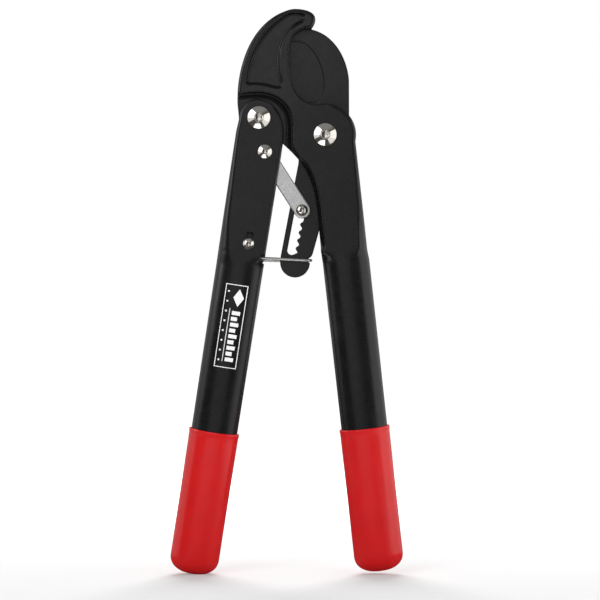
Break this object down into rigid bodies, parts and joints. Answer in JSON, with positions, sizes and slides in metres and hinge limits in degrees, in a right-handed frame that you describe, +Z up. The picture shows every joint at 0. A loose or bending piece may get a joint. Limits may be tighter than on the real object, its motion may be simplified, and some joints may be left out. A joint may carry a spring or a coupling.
{
  "type": "ratchet pruning shears",
  "caption": "Two-handled ratchet pruning shears with a hooked counter blade, a bypass blade on a toothed tang, drive links and red dipped grips.",
  "frame": {"origin": "on the floor under the middle of the upright tool, below the lower ends of its grips", "axes": "+Z up along the tool from the grips to the hook, -Y the front face with the bolt heads, +X to the right seen from the front"},
  "size_m": [0.1636, 0.0315, 0.4014],
  "materials": {
    "casting_black": "die-cast aluminium in a satin black powder coat with a fine even grain",
    "lever_black": "die-cast aluminium in a satin black powder coat with a fine even grain",
    "blade_black": "smooth satin black non-stick coating on steel",
    "grip_red": "smooth dipped vinyl, soft gloss",
    "bolt_chrome": "polished nickel-chrome, slightly warm",
    "fastener_steel": "zinc-plated, satin",
    "link_steel": "bright tumbled steel, faintly mottled",
    "spring_wire": "drawn spring wire, bright",
    "bush_bronze": "sintered bronze, oiled"
  },
  "bodies": {
    "hook_handle": {"hook_handle": "casting_black", "right_grip": "grip_red", "main_pivot_bolt": "bolt_chrome", "main_pivot_washer": "fastener_steel", "main_pivot_nut": "fastener_steel", "blade_spacer": "fastener_steel", "lever_pivot_bush": "bush_bronze"},
    "blade": {"blade": "blade_black", "blade_bush": "bush_bronze"},
    "lever_handle": {"lever_handle": "lever_black", "left_grip": "grip_red", "lever_pivot_bolt": "bolt_chrome", "lever_pivot_washer": "fastener_steel", "lever_pivot_nut": "fastener_steel", "link_screw": "bolt_chrome", "link_screw_nut": "fastener_steel", "link_spacer_front": "fastener_steel", "link_spacer_middle": "fastener_steel", "spring_screw": "bolt_chrome", "spring_screw_nut": "fastener_steel", "spring_bush": "fastener_steel"},
    "links": {"link_front": "link_steel", "link_rear": "link_steel", "ratchet_pin": "bolt_chrome", "ratchet_pin_nut": "fastener_steel"},
    "spring_bail": {"spring_bail": "spring_wire"}
  },
  "joints": [
    {"name": "lever_hinge", "type": "hinge", "parent": "hook_handle", "child": "lever_handle", "pos_m": [-0.0192, 0, 0.3241], "axis": [0, 1, 0], "range_deg": [0, 30]},
    {"name": "blade_hinge", "type": "hinge", "parent": "hook_handle", "child": "blade", "pos_m": [0.0277, 0, 0.312], "axis": [0, 1, 0], "range_deg": [0, 30]},
    {"name": "link_hinge", "type": "hinge", "parent": "lever_handle", "child": "links", "pos_m": [-0.01494, 0, 0.29996], "axis": [0, 1, 0], "range_deg": [0, 10.6]},
    {"name": "bail_hinge", "type": "hinge", "parent": "lever_handle", "child": "spring_bail", "pos_m": [-0.02657, 0, 0.23468], "axis": [0, 1, 0], "range_deg": [-31.6, 0]}
  ],
  "couplings": [
    {"joint": "blade_hinge", "follows": "lever_hinge", "ratio": 1},
    {"joint": "link_hinge", "follows": "lever_hinge", "ratio": 0.35},
    {"joint": "bail_hinge", "follows": "lever_hinge", "ratio": -1.05}
  ]
}
